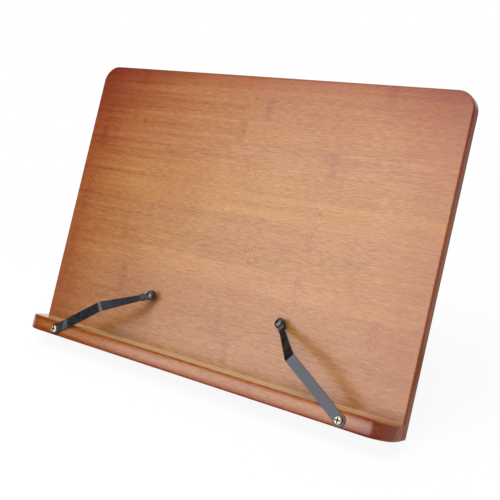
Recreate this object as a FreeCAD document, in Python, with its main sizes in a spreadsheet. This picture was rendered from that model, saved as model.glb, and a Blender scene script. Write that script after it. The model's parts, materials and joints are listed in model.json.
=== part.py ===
import FreeCAD, Part
import math
import os
import Sketcher
from FreeCAD import Vector

# Folding bamboo book stand. A board with a ledge leans back on a grooved base plate. Two butt
# hinges join the board to the base, and a U-shaped steel wire props it from behind. Two sprung
# steel page holders swivel on screws in the front of the ledge.
#
# Millimetres. +X is the reader's right, -Y is towards the reader and +Z is up. The origin is on the
# table, under the middle of the open stand. Three frames carry the pieces, each with X to the right:
#   base frame   at the hinge axis, Y backwards along the base, Z up
#   board frame  at the hinge axis, Y up the board, Z out of its front face
#   strut frame  at the strut's pivot, Y along its legs to the crossbar

doc = FreeCAD.newDocument("book_stand")

SIZES = (
    # The board and the ledge, of laminated bamboo
    ("board_width", 340, "board and ledge, side to side"),
    ("board_height", 240, "bottom edge to top edge, along the board"),
    ("board_thickness", 10, "laminated bamboo board"),
    ("board_corner", 14, "radius of the two top corners"),
    ("board_foot_corner", 2, "radius of the two bottom corners"),
    ("board_arris", 1.5, "round-over of the board's edges"),
    ("ledge_depth", 25, "how far the ledge stands out of the board's face"),
    ("ledge_height", 12, "thickness of the ledge"),
    ("ledge_corner", 17, "radius of the ledge's two front corners in plan"),
    ("ledge_top_round", 1.6, "round-over along the ledge's upper edge"),
    ("ledge_under_round", 1.3, "round-over along the ledge's lower edge"),
    # The base plate
    ("base_width", 200, "base plate, side to side"),
    ("base_depth", 130, "base plate, front to back"),
    ("base_thickness", 10, "laminated bamboo plate"),
    ("base_corner", 8, "radius of the base plate's corners"),
    ("base_arris", 1.2, "round-over of the base plate's edges"),
    ("base_front", 2.5, "wood in front of the hinge axis"),
    ("groove_count", 5, "working angles"),
    ("resting_groove_count", 3, "grooves up to the one in use, counted from the hinges"),
    ("groove_pitch", 10.8, "groove to groove"),
    ("groove_depth", 2.6, "depth of a groove"),
    ("groove_play", 0.3, "groove radius over the wire's radius"),
    # Where the pieces meet
    ("hinge_offset", 42.8, "hinge axis to the middle of the open stand"),
    ("hinge_lift", 2.8, "hinge axis to either wooden face"),
    ("board_drop", 15, "board below the hinge axis"),
    ("strut_reach", 110, "hinge axis to strut pivot, and pivot to crossbar"),
    # Butt hinges
    ("hinge_inset", 32, "hinge's middle from the base plate's side edge"),
    ("hinge_width", 30, "leaf and knuckles along the axis"),
    ("leaf_depth", 17, "hinge axis to the leaf's far edge"),
    ("leaf_thickness", 1.2, "steel leaf"),
    ("knuckle_radius", 2.5, "outside of the rolled knuckles"),
    ("knuckle_gap", 0.2, "side play between knuckles"),
    ("knuckle_clear", 0.4, "notch in a leaf round the other's knuckle"),
    ("pin_radius", 1.2, "hinge pin"),
    ("pin_play", 0.05, "pin bore radius over the pin's"),
    ("pin_proud", 0.5, "pin past the knuckles at each end"),
    ("leaf_screw_spacing", 18, "the two screws of a leaf"),
    ("leaf_screw_row", 11, "hinge axis to the screws"),
    ("leaf_screw_radius", 1.3, "shank of a leaf screw"),
    ("leaf_screw_head", 2.4, "head radius of a leaf screw"),
    ("leaf_screw_length", 8, "leaf screw under its head's face"),
    # Strut of bent wire, and the two clips that hold it
    ("wire_radius", 2.5, "steel wire"),
    ("strut_width", 130, "middle to middle of the strut's legs"),
    ("strut_stub", 24, "pivot stub outside each leg"),
    ("strut_corner", 12, "bend at the crossbar, on the wire's middle"),
    ("strut_shoulder", 5.5, "bend at the pivot stubs, on the wire's middle"),
    ("clip_spread", 157, "middle to middle of the two clips"),
    ("clip_width", 12, "clip along the stub"),
    ("clip_thickness", 1, "steel strip of a clip"),
    ("clip_play", 0.05, "clip's inside radius over the wire's"),
    ("clip_ear", 8, "flat ear on each side of the hump"),
    ("clip_ear_corner", 2.5, "radius of the ears' corners"),
    ("clip_bend", 0.8, "bend from hump to ear"),
    ("clip_screw_radius", 1.2, "shank of a clip screw"),
    ("clip_screw_head", 2.3, "head radius of a clip screw"),
    ("clip_screw_dome", 1.3, "head height of a clip screw"),
    ("clip_screw_crown", 0.9, "rounded edge of a clip screw's head"),
    ("clip_screw_length", 8, "clip screw under its head"),
    # Screws that hold the ledge to the board, from behind
    ("ledge_screw_count", 4, "screws through the board into the ledge"),
    ("ledge_screw_inset", 56, "end screws from the ledge's ends"),
    ("ledge_screw_radius", 1.9, "shank"),
    ("ledge_screw_head", 3.8, "head radius"),
    ("ledge_screw_length", 26, "screw under its head's face"),
    ("screw_play", 0.05, "hole radius over a screw's shank"),
    ("pilot_play", 1, "blind hole past a screw's point"),
    # Rubber feet
    ("foot_radius", 6, "foot"),
    ("foot_height", 2.5, "foot"),
    ("foot_round", 0.7, "rounded lower edge"),
    ("foot_inset", 14, "foot's middle from the base's side edges"),
    ("foot_setback", 13, "foot's middle from the base's front and rear edges"),
    # Page holders
    ("holder_inset_left", 38, "left pivot from the ledge's left end"),
    ("holder_inset_right", 35, "right pivot from the ledge's right end"),
    ("holder_rise", 5.4, "pivot above the ledge's underside"),
    ("holder_angle_left", 31.9, "left holder above the line of the ledge"),
    ("holder_angle_right", 35.3, "right holder above the line of the ledge"),
    ("strip_width", 7.8, "spring steel strip"),
    ("strip_end_width", 3.8, "strip at its end, inside the tip"),
    ("strip_thickness", 1, "spring steel strip"),
    ("strip_eye", 4.5, "radius of the round end at the pivot"),
    ("strip_kink", 14, "pivot to the first bend"),
    ("strip_elbow", 54.2, "pivot to the elbow"),
    ("strip_lift", 4.2, "elbow in front of the strip's flat end"),
    ("strip_run", 87.2, "pivot to the middle of the tip"),
    ("elbow_inside", 5, "inside radius of the elbow"),
    ("kink_inside", 6, "inside radius of the first bend"),
    ("swivel_play", 0.1, "play under and over the strip at its screw"),
    ("eye_play", 0.06, "eye radius over the pivot screw's shank"),
    ("tip_radius", 3.8, "barrel of the soft tip"),
    ("tip_width", 8, "barrel of the soft tip, across the strip"),
    ("tip_round", 3.1, "rounded ends of the barrel"),
    ("tip_clear", 0.3, "tip in front of the board at rest"),
    ("sleeve_width", 5.6, "sleeve of the tip round the strip"),
    ("sleeve_thickness", 2.8, "sleeve of the tip round the strip"),
    ("sleeve_length", 9.5, "middle of the barrel to the sleeve's mouth"),
    ("sleeve_round", 1.1, "rounded edges of the sleeve"),
    ("tip_grip", 1.4, "strip's end short of the barrel's middle"),
    ("tip_play", 0.05, "socket in the tip round the strip"),
    ("pivot_screw_radius", 1.6, "shank of a pivot screw"),
    ("pivot_screw_head", 2.9, "head radius of a pivot screw"),
    ("pivot_screw_dome", 2, "head height of a pivot screw"),
    ("pivot_screw_crown", 1.1, "rounded edge of a pivot screw's head"),
    ("pivot_screw_length", 18, "pivot screw under its head"),
    ("recess_span", 3.8, "cross recess, end to end"),
    ("recess_slot", 1, "cross recess, width of an arm"),
    ("recess_depth", 1.4, "cross recess"),
)

sheet = doc.addObject("Spreadsheet::Sheet", "Sizes")
for row, (alias, value, meaning) in enumerate(SIZES, start=1):
    sheet.set(f"A{row}", alias)
    sheet.set(f"B{row}", str(value))
    sheet.set(f"C{row}", meaning)
    sheet.setAlias(f"B{row}", alias)
doc.recompute()


def number(expression):
    """The present value of an expression on the sheet."""
    value = sheet.evalExpression(str(expression))
    return getattr(value, "Value", value)


def sized(text):
    """An expression in which each name marked with @ is a size on the sheet."""
    return str(text).replace("@", "Sizes.")


# ---------------------------------------------------------------- frames and working angle
# The legs are as long as the pivot is far from the hinge axis. So the crossbar stays level with
# that axis while the board tilts, and the strut turns twice as far against the board as the board
# turns. The last groove is strut_reach from the hinges: folded flat, the clips' humps lie in it.
REST_DISTANCE = sized("(@strut_reach - (@groove_count - @resting_groove_count) * @groove_pitch)")
TILT = f"acos({REST_DISTANCE} / (2 * Sizes.strut_reach))"
BASE_FRAME = sized("placement(vector(0; -@hinge_offset; @foot_height + @base_thickness + @hinge_lift);"
                   " rotation(vector(1; 0; 0); 0))")


def turned(axis, angle):
    return f"rotation(vector({axis}); {angle})"


def frame(base, x="0", y="0", z="0", turn="rotation(vector(0; 0; 1); 0)"):
    """An expression for a place measured in another frame."""
    return f"{base} * placement(vector({sized(x)}; {sized(y)}; {sized(z)}); {sized(turn)})"


BOARD_FRAME = frame(BASE_FRAME, turn=turned("1; 0; 0", TILT))
STRUT_FRAME = frame(BOARD_FRAME, y="@strut_reach", turn=turned("1; 0; 0", f"-2 * {TILT}"))


# ---------------------------------------------------------------- modelling helpers
nodes = []


def keep(piece, label):
    """Name a finished piece after its node and keep it for export."""
    piece.Label = label
    nodes.append(piece)
    return piece


def new_body(label, place=None):
    body = doc.addObject("PartDesign::Body", label)
    if place is not None:
        body.setExpression("Placement", place)
        keep(body, label)
    return body


def origin_feature(body, role):
    return next(item for item in body.Origin.OriginFeatures if item.Role == role)


def new_sketch(body, role, offset="0"):
    """A sketch on one of the body's own origin planes, moved along the plane's normal."""
    sketch = body.newObject("Sketcher::SketchObject", f"{body.Name}_sketch")
    sketch.AttachmentSupport = (origin_feature(body, role), [""])
    sketch.MapMode = "FlatFace"
    sketch.setExpression("AttachmentOffset.Base.z", sized(offset))
    return sketch


def pin_point(sketch, geometry, end, x, y):
    """Fix a point by its distances from the sketch's origin, each bound to an expression."""
    for kind, axis, text in (("DistanceX", -2, sized(x)), ("DistanceY", -1, sized(y))):
        if text == "0":
            sketch.addConstraint(Sketcher.Constraint("PointOnObject", geometry, end, axis))
            continue
        index = sketch.addConstraint(
            Sketcher.Constraint(kind, -1, 1, geometry, end, number(text)))
        sketch.setExpression(f"Constraints[{index}]", text)


def add_polygon(sketch, corners):
    """A closed outline through corners given as pairs of expressions."""
    points = [Vector(number(sized(x)), number(sized(y)), 0) for x, y in corners]
    first = sketch.GeometryCount
    count = len(points)
    for i in range(count):
        sketch.addGeometry(Part.LineSegment(points[i], points[(i + 1) % count]))
    for i in range(count):
        sketch.addConstraint(
            Sketcher.Constraint("Coincident", first + i, 2, first + (i + 1) % count, 1))
    for i, (x, y) in enumerate(corners):
        pin_point(sketch, first + i, 1, x, y)


def add_box(sketch, x_low, x_high, y_low, y_high):
    add_polygon(sketch, ((x_low, y_low), (x_high, y_low), (x_high, y_high), (x_low, y_high)))


def add_circle(sketch, x, y, radius):
    centre = Vector(number(sized(x)), number(sized(y)), 0)
    circle = sketch.addGeometry(Part.Circle(centre, Vector(0, 0, 1), number(sized(radius))))
    pin_point(sketch, circle, 3, x, y)
    index = sketch.addConstraint(Sketcher.Constraint("Radius", circle, number(sized(radius))))
    sketch.setExpression(f"Constraints[{index}]", sized(radius))


def add_pad(body, sketch, length, symmetric=False, backwards=False):
    pad = body.newObject("PartDesign::Pad", f"{body.Name}_pad")
    pad.Profile = sketch
    pad.SideType = "Symmetric" if symmetric else "One side"
    pad.Reversed = backwards
    pad.setExpression("Length", sized(length))
    doc.recompute()
    return pad


def add_pocket(body, sketch, depth=None, backwards=False):
    """Cut against the sketch's normal to a depth, or all through both ways."""
    pocket = body.newObject("PartDesign::Pocket", f"{body.Name}_pocket")
    pocket.Profile = sketch
    if depth is None:
        pocket.Type = "ThroughAll"
        pocket.SideType = "Symmetric"
    else:
        pocket.setExpression("Length", sized(depth))
        pocket.Reversed = backwards
    before = pocket.BaseFeature.Shape.Volume
    doc.recompute()
    if pocket.Shape.Volume > before - 1e-6:
        raise RuntimeError(f"{pocket.Name} removes nothing")
    return pocket


def add_fillet(body, radius, test):
    """Round every edge of the body whose bounding box passes the test."""
    base = body.Tip
    chosen = [f"Edge{i}" for i, edge in enumerate(base.Shape.Edges, start=1)
              if test(edge.BoundBox)]
    if not chosen:
        raise RuntimeError(f"no edge to round on {body.Name}")
    fillet = body.newObject("PartDesign::Fillet", f"{body.Name}_fillet")
    fillet.Base = (base, chosen)
    fillet.setExpression("Radius", sized(radius))
    doc.recompute()
    return fillet


def add_screw_holes(body, role, offset, spots, radius, head, backwards=False):
    """Countersunk through holes, their mouths on the sketch's plane."""
    sketch = new_sketch(body, role, offset)
    for x, y in spots:
        add_circle(sketch, x, y, radius)
    doc.recompute()
    hole = body.newObject("PartDesign::Hole", f"{body.Name}_hole")
    hole.Profile = sketch
    hole.DepthType = "ThroughAll"
    hole.setExpression("Diameter", sized(f"2 * ({radius})"))
    hole.HoleCutType = "Countersink"
    hole.HoleCutCustomValues = True
    hole.HoleCutCountersinkAngle = 90
    hole.setExpression("HoleCutDiameter", sized(f"2 * ({head})"))
    hole.Reversed = backwards
    before = hole.BaseFeature.Shape.Volume
    doc.recompute()
    if hole.Shape.Volume > before - 1e-6:
        raise RuntimeError(f"{hole.Name} removes nothing")
    return hole


def near(a, b):
    return abs(a - b) < 1e-4


def flat(low, high):
    return high - low < 1e-4


def scattered(label, piece, places):
    """Copies of one piece as a single node of separate solids."""
    links = []
    for place in places:
        link = doc.addObject("App::Link", f"{label}_copy")
        link.LinkedObject = piece
        link.setExpression("Placement", place)
        links.append(link)
    group = doc.addObject("Part::Compound", label)
    group.Links = links
    return keep(group, label)


SIDES = (("left", "-"), ("right", ""))

# ---------------------------------------------------------------- base plate
base_plate = new_body("base_plate", BASE_FRAME)
outline = new_sketch(base_plate, "XY_Plane", "-@hinge_lift - @base_thickness")
add_box(outline, "-@base_width / 2", "@base_width / 2", "-@base_front", "@base_depth - @base_front")
add_pad(base_plate, outline, "@base_thickness")
add_fillet(base_plate, "@base_corner", lambda box: flat(box.XMin, box.XMax) and flat(box.YMin, box.YMax))
add_fillet(base_plate, "@base_arris", lambda box: flat(box.ZMin, box.ZMax))

groove = new_sketch(base_plate, "YZ_Plane")
FIRST_GROOVE = "@strut_reach - (@groove_count - 1) * @groove_pitch"
GROOVE_RADIUS = "@wire_radius + @groove_play"
add_circle(groove, FIRST_GROOVE, f"-@hinge_lift - @groove_depth + {GROOVE_RADIUS}", GROOVE_RADIUS)
groove_cut = add_pocket(base_plate, groove)
grooves = base_plate.newObject("PartDesign::LinearPattern", "grooves")
grooves.Originals = [groove_cut]
grooves.Direction = (origin_feature(base_plate, "Y_Axis"), [""])
grooves.Mode = "Spacing"
grooves.setExpression("Offset", sized("@groove_pitch"))
grooves.setExpression("Occurrences", sized("@groove_count"))
base_plate.Tip = grooves
doc.recompute()

HINGE_MIDDLE = "(@base_width / 2 - @hinge_inset)"
LEAF_SPOTS = [(f"{side}{HINGE_MIDDLE} {sign} @leaf_screw_spacing / 2", "@leaf_screw_row")
              for _, side in SIDES for sign in ("-", "+")]
LEAF_PILOT = "@leaf_screw_length - @leaf_thickness + @pilot_play"
pilots = new_sketch(base_plate, "XY_Plane", "-@hinge_lift")
for x, y in LEAF_SPOTS:
    add_circle(pilots, x, y, "@leaf_screw_radius + @screw_play")
add_pocket(base_plate, pilots, LEAF_PILOT)

# ---------------------------------------------------------------- rubber feet
for end, foot_y in (("front", "-@base_front + @foot_setback"),
                    ("rear", "@base_depth - @base_front - @foot_setback")):
    for side, sign in SIDES:
        foot = new_body(f"foot_{end}_{side}",
                        frame(BASE_FRAME, f"{sign}(@base_width / 2 - @foot_inset)", foot_y,
                              "-@hinge_lift - @base_thickness"))
        disc = new_sketch(foot, "XY_Plane")
        add_circle(disc, "0", "0", "@foot_radius")
        add_pad(foot, disc, "@foot_height", backwards=True)
        add_fillet(foot, "@foot_round", lambda box: near(box.ZMax, -number("Sizes.foot_height")))

# ---------------------------------------------------------------- board
board = new_body("backrest_board", BOARD_FRAME)
face = new_sketch(board, "XY_Plane", "@hinge_lift")
add_box(face, "-@board_width / 2", "@board_width / 2", "-@board_drop", "@board_height - @board_drop")
add_pad(board, face, "@board_thickness")
board_top = number(sized("@board_height - @board_drop"))
board_under = -number("Sizes.board_drop")
for radius, height in (("@board_corner", board_top), ("@board_foot_corner", board_under)):
    add_fillet(board, radius, lambda box: flat(box.XMin, box.XMax) and near(box.YMin, height)
               and near(box.YMax, height))
add_fillet(board, "@board_arris", lambda box: flat(box.ZMin, box.ZMax))

LEDGE_SPOTS = [(f"({i} / (@ledge_screw_count - 1) - 1 / 2) * (@board_width - 2 * @ledge_screw_inset)",
                "@ledge_height / 2 - @board_drop")
               for i in range(int(number("Sizes.ledge_screw_count")))]
add_screw_holes(board, "XY_Plane", "@hinge_lift", LEDGE_SPOTS, "@ledge_screw_radius + @screw_play",
                "@ledge_screw_head + @screw_play", backwards=True)
pilots = new_sketch(board, "XY_Plane", "@hinge_lift")
for x, y in LEAF_SPOTS:
    add_circle(pilots, x, y, "@leaf_screw_radius + @screw_play")
add_pocket(board, pilots, LEAF_PILOT, backwards=True)
CLIP_HUMP = "@wire_radius + @clip_play + @clip_thickness"
CLIP_ROW = f"({CLIP_HUMP} + @clip_ear / 2)"
CLIP_SPOTS = [(f"{side}@clip_spread / 2", f"@strut_reach {sign} {CLIP_ROW}")
              for _, side in SIDES for sign in ("-", "+")]
pilots = new_sketch(board, "XY_Plane", "@hinge_lift")
for x, y in CLIP_SPOTS:
    add_circle(pilots, x, y, "@clip_screw_radius + @screw_play")
add_pocket(board, pilots, "@clip_screw_length - @clip_thickness + @pilot_play", backwards=True)

# ---------------------------------------------------------------- ledge
BOARD_FACE = "@hinge_lift + @board_thickness"
LEDGE_FACE = f"{BOARD_FACE} + @ledge_depth"
ledge = new_body("book_ledge", BOARD_FRAME)
plan = new_sketch(ledge, "XZ_Plane", "@board_drop - @ledge_height")
add_box(plan, "-@board_width / 2", "@board_width / 2", BOARD_FACE, LEDGE_FACE)
add_pad(ledge, plan, "@ledge_height")
ledge_front = number(sized(LEDGE_FACE))
ledge_back = number(sized(BOARD_FACE))
ledge_top = number(sized("@ledge_height - @board_drop"))
add_fillet(ledge, "@ledge_corner", lambda box: flat(box.ZMin, box.ZMax) and near(box.ZMin, ledge_front)
           and flat(box.XMin, box.XMax))
for radius, height in (("@ledge_top_round", ledge_top), ("@ledge_under_round", board_under)):
    add_fillet(ledge, radius, lambda box: near(box.YMin, height) and near(box.YMax, height)
               and not near(box.ZMax, ledge_back))
pilots = new_sketch(ledge, "XY_Plane", BOARD_FACE)
for x, y in LEDGE_SPOTS:
    add_circle(pilots, x, y, "@ledge_screw_radius + @screw_play")
add_pocket(ledge, pilots, "@ledge_screw_length - @board_thickness + @pilot_play", backwards=True)
PIVOT_SPOTS = {"left": ("-(@board_width / 2 - @holder_inset_left)", "@holder_rise - @board_drop"),
               "right": ("@board_width / 2 - @holder_inset_right", "@holder_rise - @board_drop")}
pilots = new_sketch(ledge, "XY_Plane", LEDGE_FACE)
for x, y in PIVOT_SPOTS.values():
    add_circle(pilots, x, y, "@pivot_screw_radius + @screw_play")
add_pocket(ledge, pilots, "@pivot_screw_length")

# ---------------------------------------------------------------- butt hinges
# A leaf lies on its wooden face, hinge_lift from the axis. The base's leaf has the outer two
# knuckles and the board's leaf the middle one; each is notched to clear the other's.
LEAF_FACE = "-@hinge_lift + @leaf_thickness"
HALF_MIDDLE = "@hinge_width / 6"
NOTCH = "@knuckle_radius + @knuckle_clear"


def hinge_leaf(label, place, outer):
    leaf = new_body(label, place)
    plate = new_sketch(leaf, "XY_Plane", "-@hinge_lift")
    add_box(plate, "-@hinge_width / 2", "@hinge_width / 2", "0", "@leaf_depth")
    add_pad(leaf, plate, "@leaf_thickness")
    barrel = new_sketch(leaf, "YZ_Plane")
    add_circle(barrel, "0", "0", "@knuckle_radius")
    add_pad(leaf, barrel, "@hinge_width", symmetric=True)
    notch = new_sketch(leaf, "XY_Plane")
    if outer:
        middle = f"({HALF_MIDDLE} + @knuckle_gap / 2)"
        add_box(notch, f"-{middle}", middle, f"-({NOTCH})", NOTCH)
    else:
        middle = f"({HALF_MIDDLE} - @knuckle_gap / 2)"
        for sign in ("-", ""):
            add_box(notch, f"{sign}{middle}", f"{sign}@hinge_width", f"-({NOTCH})", NOTCH)
    add_pocket(leaf, notch)
    bore = new_sketch(leaf, "YZ_Plane")
    add_circle(bore, "0", "0", "@pin_radius + @pin_play")
    add_pocket(leaf, bore)
    spots = [(f"{sign}@leaf_screw_spacing / 2", "@leaf_screw_row") for sign in ("-", "")]
    add_screw_holes(leaf, "XY_Plane", LEAF_FACE, spots, "@leaf_screw_radius + @screw_play",
                    "@leaf_screw_head + @screw_play")
    return leaf


FACE_BACK = turned("0; 1; 0", "180")
for side, sign in SIDES:
    middle = f"{sign}{HINGE_MIDDLE}"
    hinge_leaf(f"hinge_base_leaf_{side}", frame(BASE_FRAME, middle), outer=True)
    hinge_leaf(f"hinge_board_leaf_{side}", frame(BOARD_FRAME, middle, turn=FACE_BACK), outer=False)
    pin = new_body(f"hinge_pin_{side}", frame(BASE_FRAME, middle))
    rod = new_sketch(pin, "YZ_Plane")
    add_circle(rod, "0", "0", "@pin_radius")
    add_pad(pin, rod, "@hinge_width + 2 * @pin_proud", symmetric=True)
    add_fillet(pin, "@pin_radius / 3", lambda box: flat(box.XMin, box.XMax) and not flat(box.YMin, box.YMax))


# ---------------------------------------------------------------- wood screws
def countersunk_screw(label, radius, head, length):
    """A countersunk screw along -Z, the face of its head at the origin."""
    screw = new_body(label)
    half = new_sketch(screw, "XZ_Plane")
    add_polygon(half, (("0", "0"), (head, "0"), (radius, f"-({head} - {radius})"),
                       (radius, f"-({length}) + 2 * {radius}"), ("0", f"-({length})")))
    turning = screw.newObject("PartDesign::Revolution", f"{label}_turned")
    turning.Profile = half
    turning.ReferenceAxis = (origin_feature(screw, "Z_Axis"), [""])
    turning.Angle = 360
    doc.recompute()
    return screw


leaf_screw = countersunk_screw("leaf_screw", "@leaf_screw_radius", "@leaf_screw_head",
                               "@leaf_screw_length")
ledge_screw = countersunk_screw("ledge_screw", "@ledge_screw_radius", "@ledge_screw_head",
                                "@ledge_screw_length")
INTO_BOARD = turned("1; 0; 0", "180")
scattered("base_leaf_screws", leaf_screw, [frame(BASE_FRAME, x, y, LEAF_FACE) for x, y in LEAF_SPOTS])
scattered("board_leaf_screws", leaf_screw,
          [frame(BOARD_FRAME, x, y, f"-({LEAF_FACE})", INTO_BOARD) for x, y in LEAF_SPOTS])
scattered("ledge_screws", ledge_screw,
          [frame(BOARD_FRAME, x, y, "@hinge_lift", INTO_BOARD) for x, y in LEDGE_SPOTS])

# ---------------------------------------------------------------- strut clips
# A clip is a strip pressed into a hump over the wire, with a flat ear each side. The hump follows
# the wire and runs straight down to the ears on the board.
def add_arch(sketch, radius, depth):
    """A half circle round the sketch's origin with straight sides that run up to a depth."""
    reach = number(sized(radius))
    low = number(sized(depth))
    circle = Part.Circle(Vector(0, 0, 0), Vector(0, 0, 1), reach)
    arc = sketch.addGeometry(Part.ArcOfCircle(circle, math.pi, 2 * math.pi))
    corners = (Vector(reach, 0, 0), Vector(reach, low, 0), Vector(-reach, low, 0), Vector(-reach, 0, 0))
    right, across, left = [sketch.addGeometry(Part.LineSegment(corners[i], corners[i + 1]))
                           for i in range(3)]
    for joint in ((arc, 2, right, 1), (right, 2, across, 1), (across, 2, left, 1), (left, 2, arc, 1),
                  (arc, 3, -1, 1)):
        sketch.addConstraint(Sketcher.Constraint("Coincident", *joint))
    for end in (1, 2):
        sketch.addConstraint(Sketcher.Constraint("PointOnObject", arc, end, -1))
    sketch.addConstraint(Sketcher.Constraint("Vertical", right))
    sketch.addConstraint(Sketcher.Constraint("Vertical", left))
    index = sketch.addConstraint(Sketcher.Constraint("Radius", arc, reach))
    sketch.setExpression(f"Constraints[{index}]", sized(radius))
    for line in (right, left):
        end = 2 if line == right else 1
        index = sketch.addConstraint(Sketcher.Constraint("DistanceY", -1, 1, line, end, low))
        sketch.setExpression(f"Constraints[{index}]", sized(depth))


for side, sign in SIDES:
    clip = new_body(f"strut_clip_{side}", frame(BOARD_FRAME, f"{sign}@clip_spread / 2", "@strut_reach"))
    ears = new_sketch(clip, "XY_Plane", "@hinge_lift - @clip_thickness")
    reach = f"({CLIP_HUMP} + @clip_ear)"
    add_box(ears, "-@clip_width / 2", "@clip_width / 2", f"-{reach}", reach)
    add_pad(clip, ears, "@clip_thickness")
    add_fillet(clip, "@clip_ear_corner", lambda box: flat(box.XMin, box.XMax) and flat(box.YMin, box.YMax))
    hump = new_sketch(clip, "YZ_Plane")
    add_arch(hump, CLIP_HUMP, "@hinge_lift")
    add_pad(clip, hump, "@clip_width", symmetric=True)
    ear_level = number(sized("@hinge_lift - @clip_thickness"))
    add_fillet(clip, "@clip_bend", lambda box: flat(box.ZMin, box.ZMax) and near(box.ZMin, ear_level)
               and flat(box.YMin, box.YMax) and near(abs(box.YMin), number(sized(CLIP_HUMP))))
    tunnel = new_sketch(clip, "YZ_Plane")
    add_arch(tunnel, "@wire_radius + @clip_play", "@hinge_lift")
    add_pocket(clip, tunnel)
    holes = new_sketch(clip, "XY_Plane")
    for ear in ("-", ""):
        add_circle(holes, "0", f"{ear}{CLIP_ROW}", "@clip_screw_radius + @screw_play")
    add_pocket(clip, holes)

clip_screw = new_body("clip_screw")
shank = new_sketch(clip_screw, "XY_Plane")
add_circle(shank, "0", "0", "@clip_screw_radius")
add_pad(clip_screw, shank, "@clip_screw_length", backwards=True)
head = new_sketch(clip_screw, "XY_Plane")
add_circle(head, "0", "0", "@clip_screw_head")
add_pad(clip_screw, head, "@clip_screw_dome")
add_fillet(clip_screw, "@clip_screw_crown", lambda box: near(box.ZMin, number("Sizes.clip_screw_dome")))
scattered("clip_screws", clip_screw,
          [frame(BOARD_FRAME, x, y, "@hinge_lift - @clip_thickness", INTO_BOARD) for x, y in CLIP_SPOTS])

# ---------------------------------------------------------------- strut
# One length of wire in one plane: pivot stub, leg, crossbar, leg, pivot stub. Its middle line is
# straight runs joined by tangent arcs, and every run is parallel to X or Y.
strut = new_body("wire_strut", STRUT_FRAME)
path = new_sketch(strut, "XY_Plane")
LEG = "@strut_width / 2"
STUB = f"({LEG} + @strut_stub)"
corners = ((f"-{STUB}", "0"), (f"-{LEG}", "0"), (f"-{LEG}", "@strut_reach"),
           (LEG, "@strut_reach"), (LEG, "0"), (STUB, "0"))
bends = ("@strut_shoulder", "@strut_corner", "@strut_corner", "@strut_shoulder")
spots = [Vector(number(sized(x)), number(sized(y)), 0) for x, y in corners]
radii = [0] + [number(sized(bend)) for bend in bends] + [0]
runs = []
for i in range(len(spots) - 1):
    along = (spots[i + 1] - spots[i]).normalize()
    line = Part.LineSegment(spots[i] + along * radii[i], spots[i + 1] - along * radii[i + 1])
    runs.append(path.addGeometry(line))
    level = near(spots[i].y, spots[i + 1].y)
    path.addConstraint(Sketcher.Constraint("Horizontal" if level else "Vertical", runs[-1]))
for i, bend in enumerate(bends, start=1):
    before = (spots[i] - spots[i - 1]).normalize()
    after = (spots[i + 1] - spots[i]).normalize()
    middle = spots[i] + (after - before) * radii[i]
    start = spots[i] - before * radii[i]
    finish = spots[i] + after * radii[i]
    through = middle + (spots[i] - middle).normalize() * radii[i]
    arc = path.addGeometry(Part.Arc(start, through, finish))
    left_turn = before.cross(after).z > 0
    near_end, far_end = (1, 2) if left_turn else (2, 1)
    path.addConstraint(Sketcher.Constraint("Tangent", runs[i - 1], 2, arc, near_end))
    path.addConstraint(Sketcher.Constraint("Tangent", runs[i], 1, arc, far_end))
    index = path.addConstraint(Sketcher.Constraint("Radius", arc, radii[i]))
    path.setExpression(f"Constraints[{index}]", sized(bend))
pin_point(path, runs[0], 1, *corners[0])
pin_point(path, runs[4], 2, *corners[5])
for run, kind, text in ((1, "DistanceX", f"-{LEG}"), (2, "DistanceY", "@strut_reach"), (3, "DistanceX", LEG)):
    index = path.addConstraint(Sketcher.Constraint(kind, -1, 1, runs[run], 1, number(sized(text))))
    path.setExpression(f"Constraints[{index}]", sized(text))
section = new_sketch(strut, "YZ_Plane", f"-{STUB}")
add_circle(section, "0", "0", "@wire_radius")
doc.recompute()
sweep = strut.newObject("PartDesign::AdditivePipe", "bent_wire")
sweep.Profile = section
sweep.Spine = (path, [])
doc.recompute()
length = path.Shape.Length
print("strut wire: length %.1f, volume over section times length %.5f"
      % (length, sweep.Shape.Volume / (math.pi * number("Sizes.wire_radius") ** 2 * length)))

# ---------------------------------------------------------------- page holders
# A holder is a flat strip with a round eye. It lies on the ledge, leaves it at a slight first bend,
# and turns back at the elbow to bring its soft tip down on the page. Frame: origin on the ledge's
# face at the pivot, X along the holder, Z out of the ledge.
MID = "(@swivel_play + @strip_thickness / 2)"
RISE = "atan(@strip_lift / (@strip_elbow - @strip_kink))"
TIP_Z = "(-@ledge_depth + @tip_radius + @tip_clear)"
FALL = f"atan(({MID} + @strip_lift - {TIP_Z}) / (@strip_run - @strip_elbow))"
ELBOW_Z = f"({MID} + @strip_lift)"


def offset_corner(x, z, before, after, side):
    """A corner of the strip's upper (+) or lower (-) face, where two runs of its middle line meet."""
    mean = f"(({before}) + ({after})) / 2"
    reach = f"@strip_thickness / 2 / cos((({after}) - ({before})) / 2)"
    return (f"{x} {'-' if side == '+' else '+'} {reach} * sin({mean})",
            f"{z} {side} {reach} * cos({mean})")


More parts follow.
